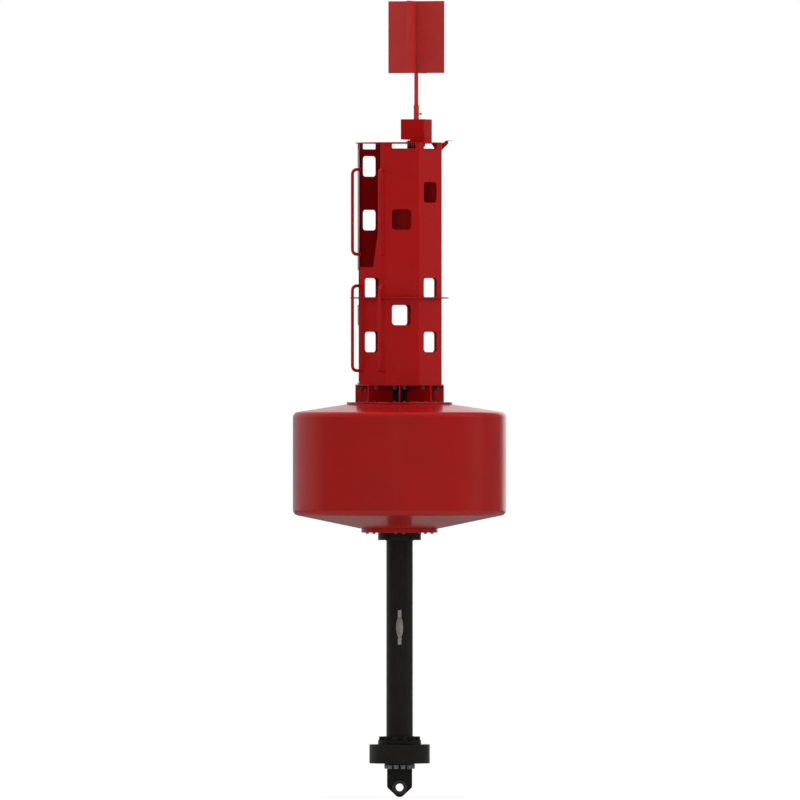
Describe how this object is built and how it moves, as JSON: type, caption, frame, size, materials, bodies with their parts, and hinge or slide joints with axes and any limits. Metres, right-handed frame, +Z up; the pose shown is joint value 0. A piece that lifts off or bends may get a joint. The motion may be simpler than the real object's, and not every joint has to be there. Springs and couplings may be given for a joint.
{
  "type": "elastomer buoy",
  "caption": "Round foam float with an elastomer skin on a ballasted tail tube with a mooring lug, under a folded octagonal tower with grab rails and a can topmark.",
  "frame": {"origin": "tip of the mooring lug, on the buoy's axis", "axes": "+Z up the buoy's axis towards the topmark, +Y away from the viewer of the picture, +X to the right"},
  "size_m": [2.2, 2.2, 8.1988],
  "materials": {
    "red_paint": "satin",
    "black_paint": "satin",
    "red_elastomer": "semi-gloss",
    "zinc": "dull cast",
    "galvanised_steel": "zinc coated"
  },
  "bodies": {
    "root": {"mooring_lug": "black_paint", "lug_boss_front": "black_paint", "lug_boss_back": "black_paint", "mooring_plate": "black_paint", "ballast_disc": "black_paint", "tail_foot_flange": "black_paint", "tail_tube": "black_paint", "tail_head_flange": "black_paint", "core_flange": "black_paint", "anode_strap_front": "galvanised_steel", "anode_front": "zinc", "anode_strap_back": "galvanised_steel", "anode_back": "zinc", "float_body": "red_elastomer", "core_tube": "black_paint", "float_bottom_plate": "red_paint", "float_top_plate": "red_paint", "collar_gusset_1": "red_paint", "collar_gusset_2": "red_paint", "collar_gusset_3": "red_paint", "collar_gusset_4": "red_paint", "collar_gusset_5": "red_paint", "collar_gusset_6": "red_paint", "collar_gusset_7": "red_paint", "collar_gusset_8": "red_paint", "collar_ring": "red_paint", "tower_shell": "red_paint", "tower_base_flange": "red_paint", "step_ring": "red_paint", "rail_lower_left": "red_paint", "rail_lower_right": "red_paint", "rail_upper_left": "red_paint", "rail_upper_right": "red_paint", "lantern_plate": "red_paint", "side_bracket": "red_paint", "side_bracket_pad": "red_paint", "side_bracket_web": "red_paint", "mast_foot": "red_paint", "mast_foot_bolt_1": "galvanised_steel", "mast_foot_bolt_2": "galvanised_steel", "mast_foot_bolt_3": "galvanised_steel", "mast_foot_bolt_4": "galvanised_steel", "mast_hood": "red_paint", "mast_sleeve": "red_paint", "mast_clamp_screw": "galvanised_steel", "topmark_mast": "red_paint", "topmark_plate_wide": "red_paint", "topmark_plate_cross": "red_paint"}
  },
  "joints": []
}
